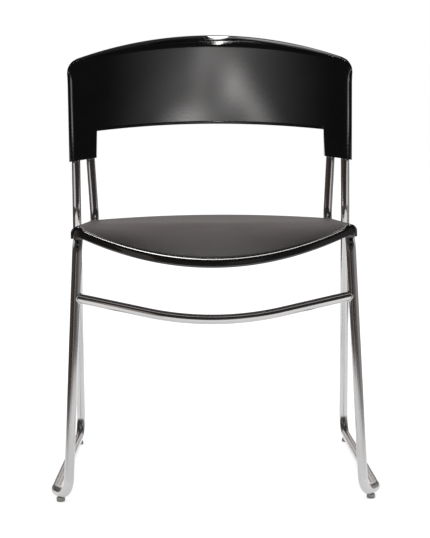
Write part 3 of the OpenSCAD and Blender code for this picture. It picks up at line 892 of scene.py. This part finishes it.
def flat_card(x_from, x_to, y_from, y_to, z):
    return [(x_from, y_from, z), (x_to, y_from, z), (x_to, y_to, z), (x_from, y_to, z)]


def upright_card(a, b, low, high):
    return [(*a, low), (*b, low), (*b, high), (*a, high)]


def light_card(*outline):
    """A card of any outline, level with the lights under the ceiling."""
    return [(x, y, lights_z) for x, y in outline]


room_half = 5
room_front = -4.2
room_back = 4
room_high = 3.2
paper_half = 1.2
paper_front = -2.7
above_paper = 0.004
window_y = -2.75
lights_z = 2.6
ceiling_z = 2.7

panel("floor", flat_card(-12, 12, -12, 12, 0), paper)
dark = glow_material("dark room", (0.050, 0.046, 0.045))
brown = glow_material("brown wall", (0.090, 0.072, 0.060))
dim = glow_material("dim wall", (0.20, 0.19, 0.185))
grey = glow_material("grey wall", (0.40, 0.39, 0.385))
warm = glow_material("warm wall", (0.92, 0.87, 0.85))
stand = glow_material("lamp stand", (0.40, 0.35, 0.31))
bright = glow_material("lit card", (0.85, 0.82, 0.83))
pale = glow_material("pale ceiling", (1.1, 1.05, 1.05))
slot = glow_material("ceiling slot", (24, 23.4, 23))
bright_slot = glow_material("front of the ceiling slot", (40, 39, 38.3))
side_slot = glow_material("card beside the slot", (3.2, 3.1, 3.05))
strip = glow_material("strip over the seat", (20, 19.5, 19.2))
low_strip = glow_material("dimmer strip over the seat", (8, 7.8, 7.6))

# The window's bright patches: the middle, the reach, the slant and the level of each.
window, tree, place = start_material("window with blinds")
light = 0.04
for middle, reach, slant, level in (
        ((-0.04, 2.10), (1.39, 6.0), 0, 2.16), ((-0.21, 2.085), (0.29, 0.17), 0.24, 4.7),
        ((-0.43, 2.00), (0.17, 0.71), 1.08, 5.1), ((0.30, 1.93), (0.49, 0.12), 0.05, 9.2),
        ((0.11, 2.19), (1.60, 0.17), 0.26, 0.8), ((0.045, 2.456), (1.35, 0.22), 1.30, 1.9)):
    spot = add_node(tree, "ShaderNodeMapping", {"vector_type": "TEXTURE"}, {
        "Vector": place, "Location": (middle[0], window_y, middle[1]), "Rotation": (0, slant, 0),
        "Scale": (reach[0], 1, reach[1])})
    light = light + add_node(tree, "ShaderNodeTexGradient", {"gradient_type": "QUADRATIC_SPHERE"},
                             {"Vector": spot}, output="Fac") * level
light = add_node(tree, "ShaderNodeCombineColor", None, {0: light, 1: light * 0.975, 2: light * 0.965})
window_glow = add_node(tree, "ShaderNodeEmission", None, {"Color": light, "Strength": 1.0})
add_node(tree, "ShaderNodeOutputMaterial", None, {"Surface": window_glow})

room = {
    "room_floor_front": (dark, flat_card(-room_half, room_half, paper_front, room_front, above_paper)),
    "room_floor_left": (brown, flat_card(-room_half, -paper_half, paper_front, room_back, above_paper)),
    "room_floor_right": (dark, flat_card(room_half, paper_half, paper_front, room_back, above_paper)),
    "room_front": (dark, upright_card((-room_half, room_front), (room_half, room_front), 0, room_high)),
    "room_ceiling": (dark, flat_card(-room_half, room_half, room_front, room_back, room_high)),
    "room_left": (brown, upright_card((-room_half, room_front), (-room_half, room_back), 0, room_high)),
    "room_right": (dark, upright_card((room_half, room_front), (room_half, room_back), 0, room_high)),
    "room_back": (warm, upright_card((-1.2, room_back), (1.2, room_back), 0.75, 1.6)),
    "room_back_low": (warm, upright_card((-0.85, room_back), (0.85, room_back), 0, 0.75)),
    "room_back_high": (dim, upright_card((-room_half, 4.1), (room_half, 4.1), 0, room_high)),
    "wall_right": (grey, upright_card((1.3, -1.0), (1.3, 1.2), 0, 0.8)),
    "wall_right_front": (dim, upright_card((1.3, -1.0), (1.3, -2.6), 0, 0.8)),
    "card_front": (dim, upright_card((0.3, -4.1), (1.0, -4.1), 0, 0.9)),
    "card_stand": (stand, upright_card((-0.43, -0.90), (-0.27, -0.90), 0.1, 0.55)),
    "card_left": (bright, upright_card((-0.42, -0.25), (-0.42, 0.12), 0.47, 0.63)),
    "card_right": (bright, upright_card((0.42, -0.25), (0.42, 0.12), 0.47, 0.63)),
    "window": (window, upright_card((-1.5, window_y), (1.5, window_y), 1.85, 2.45)),
    "ceiling_left": (dim, flat_card(-0.6, 0.03, -0.2, 2.0, ceiling_z)),
    "ceiling_right": (pale, flat_card(0.03, 0.6, -0.2, 2.0, ceiling_z)),
    "ceiling_front": (bright, flat_card(-3, 3, -1.6, -1.2, ceiling_z)),
    "slot_rear": (slot, light_card((0.0185, 0), (0.0235, 0), (0.042, 0.35), (0.085, 1.1), (0.13, 2.0),
                                   (0.015, 2.0), (0.026, 1.1), (0.0245, 0.35))),
    "slot_front": (bright_slot, light_card((0.012, -0.36), (0.0165, -0.36), (0.002, -1.1), (-0.0095, -1.9),
                                           (-0.0455, -1.9), (-0.0195, -1.1))),
    "slot_low": (low_strip, light_card((0.034, -0.08), (0.046, -0.08), (0.072, 0.03), (0.052, 0.03))),
    "slot_side": (side_slot, light_card((0.16, 0.5), (0.50, 0.5), (0.60, 1.8), (0.16, 1.8))),
    "strip_left": (strip, light_card((0.03, -0.3), (0.06, -0.3), (0.145, 0.33), (0.17, 0.75), (0.03, 0.75))),
    "strip_right": (low_strip, light_card((0.028, -0.3), (0, -0.3), (-0.09, 0.33), (-0.12, 0.75),
                                          (0.028, 0.75))),
}
only_for = {"ceiling_front": front_bar, "window": back, "slot_rear": back, "slot_front": back,
            "slot_low": back, "slot_side": back, "strip_left": seat, "strip_right": seat}
for name, (tone, corners) in room.items():
    card = panel(name, corners, tone)
    card.visible_camera = False
    card.visible_diffuse = False
    card.visible_shadow = False
    card.visible_transmission = False
    if name in only_for:
        lit_group = bpy.data.collections.new("lit by " + name)
        lit_group.objects.link(only_for[name])
        card.light_linking.receiver_collection = lit_group


def soft_lamp(name, place, target, width, height, power):
    """A rectangular lamp that neither the camera nor a reflection shows."""
    light = bpy.data.lights.new(name, "AREA")
    light.shape = "RECTANGLE"
    light.size = width
    light.size_y = height
    light.energy = power
    lamp = add_piece(name, light)
    lamp.location = place
    lamp.rotation_euler = (Vector(target) - Vector(place)).to_track_quat("-Z", "Y").to_euler()
    lamp.visible_camera = False
    lamp.visible_glossy = False


mid_chair = (0, 0, 0.5)
soft_lamp("light_front", (-0.3, -2.6, 2.2), mid_chair, 0.8, 0.5, 5)
soft_lamp("light_overhead", (0, 1.2, 2.5), mid_chair, 1.6, 1.2, 16)

world = bpy.data.worlds.new("studio")
world.use_nodes = True
world.node_tree.nodes.clear()
ray = world.node_tree.nodes.new("ShaderNodeLightPath")
seen = Signal(world.node_tree, ray.outputs["Is Camera Ray"])
for name in ("Is Glossy Ray", "Is Transmission Ray"):
    seen = seen.sum_with("MAXIMUM", seen, Signal(world.node_tree, ray.outputs[name]))
sky = add_node(world.node_tree, "ShaderNodeBackground", None,
               {"Color": (1, 1, 1, 1), "Strength": 0.62 + seen * 0.38})
add_node(world.node_tree, "ShaderNodeOutputWorld", None, {"Surface": sky})
bpy.context.scene.world = world
bpy.context.scene.view_settings.view_transform = "Standard"

# Camera: where the photographer stood, about 2.4 m in front of the seat and a little above it.

heading = math.radians(0.76)
pitch = math.radians(5.66)
roll = math.radians(-0.43)
forward = Vector((math.sin(heading) * math.cos(pitch), math.cos(heading) * math.cos(pitch), -math.sin(pitch)))
level = Vector((math.cos(heading), -math.sin(heading), 0))
upward = level.cross(forward)
right = level * math.cos(roll) + upward * math.sin(roll)
upward = upward * math.cos(roll) - level * math.sin(roll)
lens = bpy.data.cameras.new("camera")
lens.sensor_fit = "VERTICAL"
lens.sensor_height = 36
lens.lens = 100.9
camera = add_piece("camera", lens)
viewpoint = at(-0.0311, -2.421, 0.620)
facing = Matrix((right, upward, -forward)).transposed().to_4x4()
camera.matrix_world = Matrix.Translation(viewpoint) @ facing
bpy.context.scene.camera = camera
